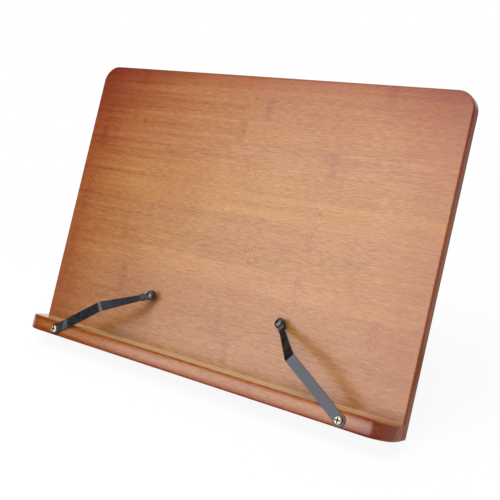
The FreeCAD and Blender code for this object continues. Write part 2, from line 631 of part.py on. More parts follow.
for side, sign in SIDES:
    angle = "@holder_angle_left" if side == "left" else "180 - @holder_angle_right"
    pivot = frame(BOARD_FRAME, *PIVOT_SPOTS[side], LEDGE_FACE)
    place = frame(BOARD_FRAME, *PIVOT_SPOTS[side], LEDGE_FACE, turned("0; 0; 1", angle))
    strip = new_body(f"page_holder_{side}", place)
    profile = new_sketch(strip, "XZ_Plane")
    end_x = f"(@strip_run - @tip_grip * cos({FALL}))"
    end_z = f"({TIP_Z} + @tip_grip * sin({FALL}))"
    bends = (("0", MID, "0 deg", "0 deg"), ("@strip_kink", MID, "0 deg", RISE),
             ("@strip_elbow", ELBOW_Z, RISE, f"-{FALL}"), (end_x, end_z, f"-{FALL}", f"-{FALL}"))
    upper = [offset_corner(*bend, "+") for bend in bends]
    lower = [offset_corner(*bend, "-") for bend in bends]
    add_polygon(profile, lower + upper[::-1])
    add_pad(strip, profile, "@strip_width", symmetric=True)
    kink = number("Sizes.strip_kink")
    elbow = number("Sizes.strip_elbow")
    across = lambda box: flat(box.XMin, box.XMax) and flat(box.ZMin, box.ZMax)
    for where, inside, lower_is_inside in ((kink, "@kink_inside", False), (elbow, "@elbow_inside", True)):
        middle = number(sized(MID if where == kink else ELBOW_Z))
        for below in (True, False):
            radius = inside if below == lower_is_inside else f"{inside} + @strip_thickness"
            add_fillet(strip, radius, lambda box: across(box) and (box.ZMin < middle) == below
                       and abs(box.XMin - where) < number("Sizes.strip_thickness"))
    taper = new_sketch(strip, "XY_Plane")
    for edge in ("-", ""):
        add_polygon(taper, (("@strip_elbow", f"{edge}@strip_width / 2"),
                            ("@strip_run", f"{edge}@strip_end_width / 2"),
                            ("@strip_run", f"{edge}@strip_width"), ("@strip_elbow", f"{edge}@strip_width")))
    add_pocket(strip, taper)
    eye = new_sketch(strip, "XY_Plane", "@swivel_play")
    add_circle(eye, "0", "0", "@strip_eye")
    add_pad(strip, eye, "@strip_thickness")
    hole = new_sketch(strip, "XY_Plane")
    add_circle(hole, "0", "0", "@pivot_screw_radius + @eye_play")
    add_pocket(strip, hole)

    # The soft tip: a barrel across the strip and a flat sleeve back along it, with a blind socket
    # that the strip's end fills. Frame: middle of the barrel, X along the strip to its end.
    tip_place = frame(place, "@strip_run", "0", TIP_Z, turned("0; 1; 0", FALL))
    tip = new_body(f"holder_tip_{side}", tip_place)
    barrel = new_sketch(tip, "XZ_Plane")
    add_circle(barrel, "0", "0", "@tip_radius")
    add_pad(tip, barrel, "@tip_width", symmetric=True)
    add_fillet(tip, "@tip_round", lambda box: flat(box.YMin, box.YMax))
    sleeve = new_sketch(tip, "YZ_Plane", "-@sleeve_length")
    add_box(sleeve, "-@sleeve_width / 2", "@sleeve_width / 2",
            "-@sleeve_thickness / 2", "@sleeve_thickness / 2")
    add_pad(tip, sleeve, "@sleeve_length")
    add_fillet(tip, "@sleeve_round", lambda box: flat(box.YMin, box.YMax) and flat(box.ZMin, box.ZMax))
    slope = (f"(@strip_width - @strip_end_width) / 2 * cos({FALL}) / (@strip_run - @strip_elbow)")
    wide = f"(@strip_end_width / 2 + @sleeve_length * {slope} + @tip_play)"
    slim = f"(@strip_end_width / 2 + @tip_grip * {slope} + @tip_play)"
    socket = new_sketch(tip, "XY_Plane", "@strip_thickness / 2 + @tip_play")
    add_polygon(socket, (("-@sleeve_length", f"-{wide}"), ("-@tip_grip + @tip_play", f"-{slim}"),
                         ("-@tip_grip + @tip_play", slim), ("-@sleeve_length", wide)))
    add_pocket(tip, socket, "@strip_thickness + 2 * @tip_play")

    screw = new_body(f"pivot_screw_{side}", pivot)
    under_head = "2 * @swivel_play + @strip_thickness"
    shank = new_sketch(screw, "XY_Plane", under_head)
    add_circle(shank, "0", "0", "@pivot_screw_radius")
    add_pad(screw, shank, "@pivot_screw_length", backwards=True)
    head = new_sketch(screw, "XY_Plane", under_head)
    add_circle(head, "0", "0", "@pivot_screw_head")
    add_pad(screw, head, "@pivot_screw_dome")
    crown = number(sized(f"{under_head} + @pivot_screw_dome"))
    add_fillet(screw, "@pivot_screw_crown", lambda box: near(box.ZMin, crown))
    cross = new_sketch(screw, "XY_Plane", f"{under_head} + @pivot_screw_dome")
    arm = "@recess_span / 2"
    slot = "@recess_slot / 2"
    add_polygon(cross, ((arm, slot), (slot, slot), (slot, arm), (f"-{slot}", arm), (f"-{slot}", slot),
                        (f"-{arm}", slot), (f"-{arm}", f"-{slot}"), (f"-{slot}", f"-{slot}"),
                        (f"-{slot}", f"-{arm}"), (slot, f"-{arm}"), (slot, f"-{slot}"), (arm, f"-{slot}")))
    add_pocket(screw, cross, "@recess_depth")

# ---------------------------------------------------------------- check and export
doc.recompute()
for item in doc.Objects:
    if {"Invalid", "Error"} & set(item.State):
        raise RuntimeError(f"{item.Name} failed: {item.State}")
os.makedirs("parts", exist_ok=True)
whole = FreeCAD.BoundBox()
for node in nodes:
    if node.Shape.isNull() or not node.Shape.isValid():
        raise RuntimeError(f"{node.Label} is not a valid solid")
    whole.add(node.Shape.optimalBoundingBox(True, False))
    node.Shape.exportStep(f"parts/{node.Label}.step")
print("%d nodes, tilt %.3f degrees" % (len(nodes), number(TILT)))
print("box x %.2f %.2f  y %.2f %.2f  z %.2f %.2f"
      % (whole.XMin, whole.XMax, whole.YMin, whole.YMax, whole.ZMin, whole.ZMax))
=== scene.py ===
import json
import math

import bpy
import bmesh
from mathutils import Matrix, Vector


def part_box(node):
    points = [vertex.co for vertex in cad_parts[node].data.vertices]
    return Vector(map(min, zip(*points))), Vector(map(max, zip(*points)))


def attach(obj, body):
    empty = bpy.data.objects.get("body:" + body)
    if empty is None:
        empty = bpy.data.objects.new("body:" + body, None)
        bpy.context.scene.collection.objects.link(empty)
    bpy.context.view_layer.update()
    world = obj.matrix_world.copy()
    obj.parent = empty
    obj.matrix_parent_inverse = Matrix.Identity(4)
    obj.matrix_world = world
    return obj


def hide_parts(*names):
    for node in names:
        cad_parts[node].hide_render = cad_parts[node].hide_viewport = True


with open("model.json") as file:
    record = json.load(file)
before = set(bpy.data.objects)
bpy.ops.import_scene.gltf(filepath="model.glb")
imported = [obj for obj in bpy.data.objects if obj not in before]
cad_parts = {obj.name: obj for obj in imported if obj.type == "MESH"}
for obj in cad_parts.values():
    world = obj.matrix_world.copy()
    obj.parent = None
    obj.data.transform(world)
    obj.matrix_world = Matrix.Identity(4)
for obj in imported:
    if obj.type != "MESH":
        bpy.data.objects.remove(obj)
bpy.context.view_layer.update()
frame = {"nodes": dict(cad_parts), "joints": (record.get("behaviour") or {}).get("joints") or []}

# ---------------------------------------------------------------- camera and studio
# The camera stands in front of the stand, to its right, and looks down at it a little. A softbox
# overhead gives the light, and a large card in front is there for the lacquer and steel to mirror.
MM = 0.001
STAND_MIDDLE = Vector((0, 0, 0.1))

camera = bpy.data.objects.new("camera", bpy.data.cameras.new("camera"))
camera.location = Vector((349.8, -500.6, 288.9)) * MM
camera_aim = Vector((8.7, 0.0, 94.7)) * MM
camera.rotation_euler = (camera_aim - camera.location).to_track_quat("-Z", "Y").to_euler()
camera.data.lens = 57.75
camera.data.sensor_width = 36.0
bpy.context.collection.objects.link(camera)
bpy.context.scene.camera = camera
bpy.context.scene.view_settings.view_transform = "Standard"


def linear(hex_colour):
    """An sRGB hex colour as linear red, green, blue and alpha."""
    parts = [int(hex_colour[i:i + 2], 16) / 255 for i in (1, 3, 5)]
    return [c / 12.92 if c <= 0.04045 else ((c + 0.055) / 1.055) ** 2.4 for c in parts] + [1.0]


def add_node(tree, kind, inputs, **settings):
    """Add a node with its settings, then give its sockets numbers or links."""
    node = tree.nodes.new(kind)
    for name, value in settings.items():
        setattr(node, name, value)
    for socket, value in inputs.items():
        if isinstance(value, bpy.types.NodeSocket):
            tree.links.new(value, node.inputs[socket])
        else:
            node.inputs[socket].default_value = value
    return node


def new_material(name):
    """A material with its node tree and its Principled shader."""
    material = bpy.data.materials.new(name)
    material.use_nodes = True
    return material, material.node_tree, material.node_tree.nodes["Principled BSDF"]


def compass(azimuth, elevation):
    """A direction away from the stand. Azimuth 0 is in front and 90 at the left."""
    turn = math.radians(azimuth)
    rise = math.radians(elevation)
    return Vector((-math.sin(turn) * math.cos(rise), -math.cos(turn) * math.cos(rise), math.sin(rise)))


def soft_light(name, azimuth, elevation, distance, width, height, radiance, roll=0):
    """A rectangle of light that faces the stand."""
    lamp = bpy.data.lights.new(name, "AREA")
    lamp.shape = "RECTANGLE"
    lamp.size = width
    lamp.size_y = height
    lamp.energy = radiance * math.pi * width * height
    light = bpy.data.objects.new(name, lamp)
    away = compass(azimuth, elevation)
    light.location = STAND_MIDDLE + away * distance
    aim = (-away).to_track_quat("-Z", "Y").to_matrix()
    light.rotation_euler = (aim @ Matrix.Rotation(math.radians(roll), 3, "Z")).to_euler()
    light.visible_camera = False
    bpy.context.collection.objects.link(light)
    return light


# Only reflections show the card, and none shows the softbox. The bare lamp adds small highlights.
card = soft_light("front_card", azimuth=13, elevation=19, distance=1.6, width=1.64, height=1.36,
                  radiance=2.5, roll=-8)
card.visible_diffuse = False
softbox = soft_light("upper_softbox", azimuth=20, elevation=62, distance=1.8, width=1.6, height=1.2,
                     radiance=5.7)
softbox.visible_glossy = False
soft_light("bare_lamp", azimuth=6, elevation=64, distance=1.6, width=0.07, height=0.07, radiance=50)


def plainly_seen(tree):
    """1 for rays from the camera, off a glossy face or through glass, and 0 for all others."""
    rays = add_node(tree, "ShaderNodeLightPath", {}).outputs
    seen = rays["Is Camera Ray"]
    for ray in ("Is Glossy Ray", "Is Transmission Ray"):
        seen = add_node(tree, "ShaderNodeMath", {0: seen, 1: rays[ray]}, operation="MAXIMUM").outputs[0]
    return seen


# The room is white where it is plainly seen, and fills the shadows with less
ROOM_FILL = 0.5
world = bpy.data.worlds.new("white_room")
bpy.context.scene.world = world
world.use_nodes = True
room = world.node_tree
room.nodes.clear()
level = add_node(room, "ShaderNodeMapRange",
                 {"Value": plainly_seen(room), "To Min": ROOM_FILL, "To Max": 1.0})
glow = add_node(room, "ShaderNodeBackground", {"Color": linear("#ffffff"), "Strength": level.outputs[0]})
add_node(room, "ShaderNodeOutputWorld", {"Surface": glow.outputs[0]})

# A white painted floor. It keeps a share of the stand's shadow, which fades out between two
# distances from the stand, in metres. Past them the floor has the room's own white.
FLOOR_SIZE = 80.0
SHADE_SHARE = 0.08
SHADE_NEAR = 0.2
SHADE_FAR = 0.9
half = FLOOR_SIZE / 2
corners = [(-half, -half, 0), (half, -half, 0), (half, half, 0), (-half, half, 0)]
floor_mesh = bpy.data.meshes.new("floor")
floor_mesh.from_pydata(corners, [], [(0, 1, 2, 3)])
floor = bpy.data.objects.new("floor", floor_mesh)
bpy.context.collection.objects.link(floor)
paint, tree, shader = new_material("white_floor")
tree.nodes.clear()
seen = plainly_seen(tree)
coords = add_node(tree, "ShaderNodeTexCoord", {})
out = add_node(tree, "ShaderNodeVectorMath", {0: coords.outputs["Object"]}, operation="LENGTH")
share = add_node(tree, "ShaderNodeMapRange",
                 {"Value": out.outputs["Value"], "From Min": SHADE_NEAR, "From Max": SHADE_FAR,
                  "To Min": 1.0 - SHADE_SHARE, "To Max": 1.0}, interpolation_type="SMOOTHSTEP")
share = add_node(tree, "ShaderNodeMath", {0: seen, 1: share.outputs[0]}, operation="MULTIPLY")
matt = add_node(tree, "ShaderNodeBsdfDiffuse", {"Color": linear("#ebebeb")})
white = add_node(tree, "ShaderNodeEmission", {"Color": linear("#ffffff"), "Strength": 1.0})
mix = add_node(tree, "ShaderNodeMixShader", {0: share.outputs[0], 1: matt.outputs[0], 2: white.outputs[0]})
add_node(tree, "ShaderNodeOutputMaterial", {"Surface": mix.outputs[0]})
floor.data.materials.append(paint)

# A black curtain round the left of the set, a grey one behind the camera and a grey mat on the
# floor before it, in metres and at these azimuths. Only the glossy faces mirror them.
CURTAIN_RADIUS = 2.2
CURTAIN_HEIGHT = 3.2
MAT_RADIUS = 0.2
MAT_HEIGHT = 0.001
LEFT_SIDE = range(41, 147, 15)
RIGHT_SIDE = range(-112, -11, 12)
hangings = (("black_curtain", LEFT_SIDE, CURTAIN_RADIUS, CURTAIN_HEIGHT, "#141414"),
            ("grey_curtain", RIGHT_SIDE, CURTAIN_RADIUS, CURTAIN_HEIGHT, "#a8a8a8"),
            ("grey_mat", RIGHT_SIDE, MAT_RADIUS, MAT_HEIGHT, "#a8a8a8"))
for name, azimuths, far_radius, far_height, shade in hangings:
    foot = [compass(azimuth, 0) * CURTAIN_RADIUS for azimuth in azimuths]
    far_edge = [compass(azimuth, 0) * far_radius + Vector((0, 0, far_height)) for azimuth in azimuths]
    last = len(foot)
    faces = [(i, i + 1, i + 1 + last, i + last) for i in range(last - 1)]
    curtain_mesh = bpy.data.meshes.new(name)
    curtain_mesh.from_pydata(foot + far_edge, [], faces)
    curtain = bpy.data.objects.new(name, curtain_mesh)
    bpy.context.collection.objects.link(curtain)
    curtain.visible_camera = False
    curtain.visible_diffuse = False
    curtain.visible_transmission = False
    curtain.visible_shadow = False
    cloth, tree, shader = new_material(f"{name}_cloth")
    shader.inputs["Base Color"].default_value = linear(shade)
    shader.inputs["Roughness"].default_value = 1.0
    curtain.data.materials.append(cloth)

# ---------------------------------------------------------------- base plate
# A flat plate behind the board, pressed from bamboo strips, with five grooves across it for the
# strut's crossbar. It is stained and lacquered as the board and the ledge are.
BASE_SIDE = 100.0
BASE_FRONT = -2.5
BASE_MIDDLE = 60.0
BASE_REAR = 127.5
joints = {joint["name"]: joint for joint in frame["joints"]}
hinge_axis = Vector(joints["tilt"]["pos_m"])
base_frame = Matrix.Translation(hinge_axis)
CRISP_FROM = math.radians(30)


def new_node_group(name, sockets):
    """An empty Geometry Nodes tree with named inputs, and the sockets that they come from."""
    tree = bpy.data.node_groups.new(name, "GeometryNodeTree")
    for label, kind in sockets:
        tree.interface.new_socket(label, in_out="INPUT", socket_type=f"NodeSocket{kind}")
    tree.interface.new_socket("Geometry", in_out="OUTPUT", socket_type="NodeSocketGeometry")
    return tree, add_node(tree, "NodeGroupInput", {}).outputs


def add_modifier(piece, tree, sizes):
    """Give a piece a Geometry Nodes modifier and set the tree's named inputs."""
    modifier = piece.modifiers.new(tree.name, "NODES")
    modifier.node_group = tree
    for item in tree.interface.items_tree:
        if item.in_out == "INPUT" and item.name in sizes:
            modifier[item.identifier] = sizes[item.name]


# Curved faces are shaded round, and edges sharper than an angle stay crisp
shading, given = new_node_group("crisp_shading", (("Geometry", "Geometry"), ("Crisp From", "Float")))
merged = add_node(shading, "GeometryNodeMergeByDistance", {0: given["Geometry"], "Distance": 0.001 * MM})
bend = add_node(shading, "GeometryNodeInputMeshEdgeAngle", {})
crisp = add_node(shading, "FunctionNodeCompare",
                 {0: bend.outputs["Unsigned Angle"], 1: given["Crisp From"]}, operation="GREATER_THAN")
smooth = add_node(shading, "GeometryNodeSetShadeSmooth",
                  {0: merged.outputs[0], "Shade Smooth": True}, domain="FACE")
smooth = add_node(shading, "GeometryNodeSetShadeSmooth",
                  {0: smooth.outputs[0], "Selection": crisp.outputs[0], "Shade Smooth": False},
                  domain="EDGE")
add_node(shading, "NodeGroupOutput", {0: smooth.outputs[0]})


def finish_node(name, material):
    """Give a CAD node its material, and shade its curved faces round."""
    node = frame["nodes"][name]
    node.data.materials.clear()
    node.data.materials.append(material)
    add_modifier(node, shading, {"Crisp From": CRISP_FROM})


def own_millimetres(tree, place):
    """Object coordinates in millimetres, measured in a piece's own frame."""
    coords = add_node(tree, "ShaderNodeTexCoord", {})
    inverse = place.inverted()
    return add_node(tree, "ShaderNodeMapping", {
        "Vector": coords.outputs["Object"], "Location": inverse.to_translation() / MM,
        "Rotation": inverse.to_euler(), "Scale": (1 / MM, 1 / MM, 1 / MM)}, vector_type="POINT").outputs[0]


def nearness(tree, axes, planes, reach, squeeze=1.0):
    """1 on all the planes at once, such as {"X": 170}, fading with the distance from them.

    It is down to about a third at the reach, in millimetres, and a squeeze above 1 shortens that.
    """
    far = 0.0
    for axis, position in planes.items():
        gap = add_node(tree, "ShaderNodeMath", {0: axes[axis], 1: position}, operation="SUBTRACT")
        far = add_node(tree, "ShaderNodeMath", {0: gap.outputs[0], 1: gap.outputs[0], 2: far},
                       operation="MULTIPLY_ADD").outputs[0]
    far = add_node(tree, "ShaderNodeMath", {0: far, 1: squeeze}, operation="MULTIPLY")
    far = add_node(tree, "ShaderNodeMath", {0: far.outputs[0], 1: -1 / reach ** 2}, operation="MULTIPLY")
    return add_node(tree, "ShaderNodeMath", {0: far.outputs[0]}, operation="EXPONENT").outputs[0]


# The bamboo's sizes in millimetres. A pair is a length along the grain and a width across it. A
# fibre is about 0.2 mm across, and is drawn coarser so that it shows.
STRIP_WIDTH = 19.0
STRIP_THICKNESS = 5.2
GLUE_LINE = 0.6
SAP_CLOUD = (140.0, 7.0)
FIBRE_BUNDLE = (45.0, 0.7)
FIBRE = (6.0, 0.55)
KNUCKLE_SPACING = 230.0
KNUCKLE_WAVE = 4.545
KNUCKLE_WANDER = 7.0
KNUCKLE_BAND = 6.5
KNUCKLE_PATCH = 7.0
KNUCKLE_MOTTLE = (1.4286, 2.5)
SPRAY_CLOUD = 50.0
SOAKED_STREAK = (160.0, 3.4)
END_GRAIN_FROM = 0.9
END_GRAIN_TO = 0.1

# The share of red, green and blue that one depth of stain lets through, and the share of the
# lacquer that is rubbed off a sanded edge or sinks into the end grain
STAIN_PASSES = (math.exp(-0.34), math.exp(-0.9), math.exp(-1.45))
SANDED_OFF = 0.9
SUNK_IN = 0.6


def bamboo(name, place, haze, stains, sanded=()):
    """Laminated bamboo under a sprayed stain and a clear gloss lacquer.

    The eye gets fine fibres along X, strips from different canes, a knuckle here and there, and
    edges that darken from gold to red-brown. The haze is the lacquer's roughness. Each stain is
    (planes, reach, depth), and a negative depth makes a place paler. Some stains are painted shade,
    and a pale one is painted light. Each sanded edge is (planes, reach), and the lacquer is thin there.
    """
    material, tree, shader = new_material(name)
    own = own_millimetres(tree, place)
    axes = add_node(tree, "ShaderNodeSeparateXYZ", {0: own}).outputs

    # Strips side by side and in layers, each from another cane, with a glue line between them
    across = add_node(tree, "ShaderNodeMath", {0: axes["Y"], 1: 1 / STRIP_WIDTH}, operation="MULTIPLY")
    row = add_node(tree, "ShaderNodeMath", {0: across.outputs[0]}, operation="FLOOR")
    deep = add_node(tree, "ShaderNodeMath", {0: axes["Z"], 1: 1 / STRIP_THICKNESS, 2: 0.5},
                    operation="MULTIPLY_ADD")
    layer = add_node(tree, "ShaderNodeMath", {0: deep.outputs[0]}, operation="FLOOR")
    strip = add_node(tree, "ShaderNodeCombineXYZ", {0: row.outputs[0], 1: layer.outputs[0], 2: 0.5})
    cane = add_node(tree, "ShaderNodeTexWhiteNoise", {"Vector": strip.outputs[0]}, noise_dimensions="3D")
    chance = add_node(tree, "ShaderNodeSeparateColor", {"Color": cane.outputs["Color"]}).outputs
    glue = add_node(tree, "ShaderNodeMath", {0: axes["Y"], 1: STRIP_WIDTH / 2}, operation="PINGPONG")
    glue = add_node(tree, "ShaderNodeMapRange",
                    {"Value": glue.outputs[0], "From Max": GLUE_LINE, "To Min": 0.07, "To Max": 0.0})

    # Streaks along X: clouds of sap, fibre bundles and single fibres. Each cane has its own.
    shifted = add_node(tree, "ShaderNodeVectorMath", {0: cane.outputs["Color"], 1: (900, 0, 300), 2: own},
                       operation="MULTIPLY_ADD")
    streaks = []
    for length, width in (SAP_CLOUD, FIBRE_BUNDLE, FIBRE):
        stretch = (1 / length, 1 / width, 1 / width)
        streak = add_node(tree, "ShaderNodeVectorMath", {0: shifted.outputs[0], 1: stretch},
                          operation="MULTIPLY")
        streak = add_node(tree, "ShaderNodeTexNoise",
                          {"Vector": streak.outputs[0], "Scale": 1.0, "Detail": 2.0, "Roughness": 0.6})
        streaks.append(streak)
    clouds, bundles, fibres = streaks

    # Knuckles, where the cane had a joint: a soft, wavy band in a mottled patch
    waves = add_node(tree, "ShaderNodeTexNoise",
                     {"Vector": shifted.outputs[0], "Scale": 1 / KNUCKLE_WAVE, "Detail": 2.0})
    along = add_node(tree, "ShaderNodeMath", {0: chance["Red"], 1: KNUCKLE_SPACING, 2: axes["X"]},
                     operation="MULTIPLY_ADD")
    along = add_node(tree, "ShaderNodeMath", {0: waves.outputs[0], 1: KNUCKLE_WANDER, 2: along.outputs[0]},
                     operation="MULTIPLY_ADD")
    away = add_node(tree, "ShaderNodeMath", {0: along.outputs[0], 1: KNUCKLE_SPACING / 2},
                    operation="PINGPONG")
    band = add_node(tree, "ShaderNodeMapRange",
                    {"Value": away.outputs[0], "From Min": 0.0, "From Max": KNUCKLE_BAND,
                     "To Min": 1.0, "To Max": 0.0}, interpolation_type="SMOOTHSTEP")
    bold = add_node(tree, "ShaderNodeMapRange",
                    {"Value": chance["Blue"], "From Min": 0.2, "To Min": 0.12, "To Max": 0.62})
    band = add_node(tree, "ShaderNodeMath", {0: band.outputs[0], 1: bold.outputs[0]}, operation="MULTIPLY")
    patch = add_node(tree, "ShaderNodeMapRange",
                     {"Value": away.outputs[0], "From Min": 1.0, "From Max": KNUCKLE_PATCH,
                      "To Min": 1.0, "To Max": 0.0}, interpolation_type="SMOOTHSTEP")
    length, width = KNUCKLE_MOTTLE
    stretch = (1 / length, 1 / width, 1 / width)
    mottle = add_node(tree, "ShaderNodeVectorMath", {0: shifted.outputs[0], 1: stretch},
                      operation="MULTIPLY")
    mottle = add_node(tree, "ShaderNodeTexNoise",
                      {"Vector": mottle.outputs[0], "Scale": 1.0, "Detail": 2.0})
    mottle = add_node(tree, "ShaderNodeMath", {0: mottle.outputs[0], 1: 0.5}, operation="SUBTRACT")
    mottle = add_node(tree, "ShaderNodeMath", {0: mottle.outputs[0], 1: patch.outputs[0]},
                      operation="MULTIPLY")

    # Tone from the streaks, and colour from the tone, golden in some canes and rosy in others
    tone = add_node(tree, "ShaderNodeMath", {0: clouds.outputs[0], 1: 0.26, 2: -0.325},
                    operation="MULTIPLY_ADD")
    for texture, amount in ((bundles, 0.32), (fibres, 1.0), (mottle, 1.0)):
        tone = add_node(tree, "ShaderNodeMath", {0: texture.outputs[0], 1: amount, 2: tone.outputs[0]},
                        operation="MULTIPLY_ADD")
    tone = add_node(tree, "ShaderNodeMath", {0: chance["Green"], 1: 0.1, 2: tone.outputs[0]},
                    operation="MULTIPLY_ADD")
    golden = add_node(tree, "ShaderNodeValToRGB", {0: tone.outputs[0]})
    rosy = add_node(tree, "ShaderNodeValToRGB", {0: tone.outputs[0]})
    for ramp, dark, pale in ((golden, "#814b1c", "#bc884c"), (rosy, "#804820", "#b98552")):
        ramp.color_ramp.elements[0].position = 0.22
        ramp.color_ramp.elements[0].color = linear(dark)
        ramp.color_ramp.elements[1].position = 0.84
        ramp.color_ramp.elements[1].color = linear(pale)
    wood = add_node(tree, "ShaderNodeMix", {0: chance["Blue"], 6: golden.outputs[0], 7: rosy.outputs[0]},
                    data_type="RGBA")
    wood = add_node(tree, "ShaderNodeMix", {0: band.outputs[0], 6: wood.outputs[2], 7: linear("#8d4e35")},
                    data_type="RGBA")
    wood = add_node(tree, "ShaderNodeMix", {0: glue.outputs[0], 6: wood.outputs[2], 7: linear("#5c4436")},
                    data_type="RGBA")

    # The stain soaks further along some fibres than others. The deeper it is, the less blue and
    # green it lets through.
    length, width = SOAKED_STREAK
    stretch = (1 / length, 1 / width, 1 / width)
    soak = add_node(tree, "ShaderNodeVectorMath", {0: own, 1: stretch}, operation="MULTIPLY")
    soak = add_node(tree, "ShaderNodeTexNoise", {"Vector": soak.outputs[0], "Scale": 1.0, "Detail": 3.0})
    squeeze = add_node(tree, "ShaderNodeMapRange",
                       {"Value": soak.outputs[0], "From Min": 0.3, "From Max": 0.7,
                        "To Min": 0.4, "To Max": 1.7})
    spray = add_node(tree, "ShaderNodeTexNoise", {"Vector": own, "Scale": 1 / SPRAY_CLOUD, "Detail": 2.0})
    depth = add_node(tree, "ShaderNodeMath", {0: spray.outputs[0], 1: 0.4, 2: -0.14},
                     operation="MULTIPLY_ADD")
    for planes, reach, deepest in stains:
        near = nearness(tree, axes, planes, reach, squeeze.outputs[0])
        depth = add_node(tree, "ShaderNodeMath", {0: near, 1: deepest, 2: depth.outputs[0]},
                         operation="MULTIPLY_ADD")
    depth = add_node(tree, "ShaderNodeMath", {0: depth.outputs[0], 1: -1.0}, operation="MAXIMUM")
    passed = add_node(tree, "ShaderNodeVectorMath", {0: STAIN_PASSES, 1: depth.outputs[0]},
                      operation="POWER")
    stained = add_node(tree, "ShaderNodeVectorMath", {0: wood.outputs[2], 1: passed.outputs[0]},
                       operation="MULTIPLY")
    tree.links.new(stained.outputs[0], shader.inputs["Base Color"])
    height = add_node(tree, "ShaderNodeMath", {0: bundles.outputs[0], 1: fibres.outputs[0]},
                      operation="ADD")
    bump = add_node(tree, "ShaderNodeBump",
                    {"Height": height.outputs[0], "Strength": 0.3, "Distance": 0.03 * MM})
    tree.links.new(bump.outputs[0], shader.inputs["Normal"])
    shader.inputs["Roughness"].default_value = 0.5
    shader.inputs["Specular IOR Level"].default_value = 0.0

    # The end grain drinks the lacquer and stays duller, and sanded edges keep little of it
    half_length = max(abs(planes["X"]) for planes, reach, deepest in stains if "X" in planes)
    ends = add_node(tree, "ShaderNodeMath", {0: axes["X"]}, operation="ABSOLUTE")
    ends = add_node(tree, "ShaderNodeMapRange",
                    {"Value": ends.outputs[0], "From Min": half_length - END_GRAIN_FROM,
                     "From Max": half_length - END_GRAIN_TO, "To Min": 1.0, "To Max": 1.0 - SUNK_IN})
    lacquer = ends.outputs[0]
    for planes, reach in sanded:
        near = nearness(tree, axes, planes, reach)
        left = add_node(tree, "ShaderNodeMath", {0: near, 1: -SANDED_OFF, 2: 1.0},
                        operation="MULTIPLY_ADD")
        left = add_node(tree, "ShaderNodeMath", {0: lacquer, 1: left.outputs[0]}, operation="MULTIPLY")
        lacquer = left.outputs[0]
    tree.links.new(lacquer, shader.inputs["Coat Weight"])
    shader.inputs["Coat Roughness"].default_value = haze
    shader.inputs["Coat IOR"].default_value = 1.6
    return material


finish_node("base_plate", bamboo("base_bamboo", base_frame, haze=0.24, stains=(
    ({"X": -BASE_SIDE}, 12, 0.9),
    ({"X": BASE_SIDE}, 12, 0.9),
    ({"Y": BASE_FRONT}, 9, 0.7),
    ({"Y": BASE_REAR}, 9, 0.9),
    ({"Y": BASE_MIDDLE}, 200, 0.35))))

# ---------------------------------------------------------------- rubber feet
# Four black rubber discs, moulded and stuck under the base plate. The surface is dull, with a fine
# grain from the mould and grey dust in it.
MOULD_GRAIN = 0.4  # in millimetres, coarser than the real grain so that it shows
DUST_PATCH = 3.125
rubber, tree, shader = new_material("moulded_rubber")
coords = add_node(tree, "ShaderNodeTexCoord", {})
grain = add_node(tree, "ShaderNodeTexNoise",
                 {"Vector": coords.outputs["Object"], "Scale": 1 / (MOULD_GRAIN * MM), "Detail": 2.0})
dust = add_node(tree, "ShaderNodeTexNoise",
                {"Vector": coords.outputs["Object"], "Scale": 1 / (DUST_PATCH * MM), "Detail": 3.0})
dust = add_node(tree, "ShaderNodeMapRange",
                {"Value": dust.outputs[0], "From Min": 0.5, "From Max": 0.8, "To Max": 0.3})
colour = add_node(tree, "ShaderNodeMix", {0: dust.outputs[0], 6: linear("#191919"), 7: linear("#5a5853")},
                  data_type="RGBA")
bump = add_node(tree, "ShaderNodeBump",
                {"Height": grain.outputs[0], "Strength": 0.5, "Distance": 0.05 * MM})
tree.links.new(colour.outputs[2], shader.inputs["Base Color"])
tree.links.new(bump.outputs[0], shader.inputs["Normal"])
shader.inputs["Roughness"].default_value = 0.75
for end in ("front", "rear"):
    for side in ("left", "right"):
        finish_node(f"foot_{end}_{side}", rubber)

# ---------------------------------------------------------------- butt hinges
# Two butt hinges join the base plate and the board. Each has two pressed steel leaves, notched and
# rolled to knuckles round a steel pin, and all of it is zinc plated.
PLATING_CLOUD = 9.09
ROLLING_MARK = (4.0, 1 / 3)  # length and width in millimetres, coarser than real so that they show


def zinc_plate(name, base, dull, bright):
    """Plated steel: a cool grey with cloudy patches, fine rolling marks and small dull scuffs."""
    material, tree, shader = new_material(name)
    coords = add_node(tree, "ShaderNodeTexCoord", {})
    cloud = add_node(tree, "ShaderNodeTexNoise",
                     {"Vector": coords.outputs["Object"], "Scale": 1 / (PLATING_CLOUD * MM), "Detail": 3.0})
    length, width = (size * MM for size in ROLLING_MARK)
    stretch = (1 / length, 1 / width, 1 / width)
    marks = add_node(tree, "ShaderNodeVectorMath", {0: coords.outputs["Object"], 1: stretch},
                     operation="MULTIPLY")
    marks = add_node(tree, "ShaderNodeTexNoise", {"Vector": marks.outputs[0], "Scale": 1.0, "Detail": 2.0})
    colour = add_node(tree, "ShaderNodeMix", {0: cloud.outputs[0], 6: linear(base), 7: linear(dull)},
                      data_type="RGBA")
    tree.links.new(colour.outputs[2], shader.inputs["Base Color"])
    rough = add_node(tree, "ShaderNodeMath", {0: cloud.outputs[0], 1: marks.outputs[0]}, operation="ADD")
    rough = add_node(tree, "ShaderNodeMapRange",
                     {"Value": rough.outputs[0], "From Min": 0.6, "From Max": 1.4,
                      "To Min": bright, "To Max": bright + 0.2})
    tree.links.new(rough.outputs[0], shader.inputs["Roughness"])
    bump = add_node(tree, "ShaderNodeBump",
                    {"Height": marks.outputs[0], "Strength": 0.25, "Distance": 0.02 * MM})
    tree.links.new(bump.outputs[0], shader.inputs["Normal"])
    shader.inputs["Metallic"].default_value = 1.0
    return material


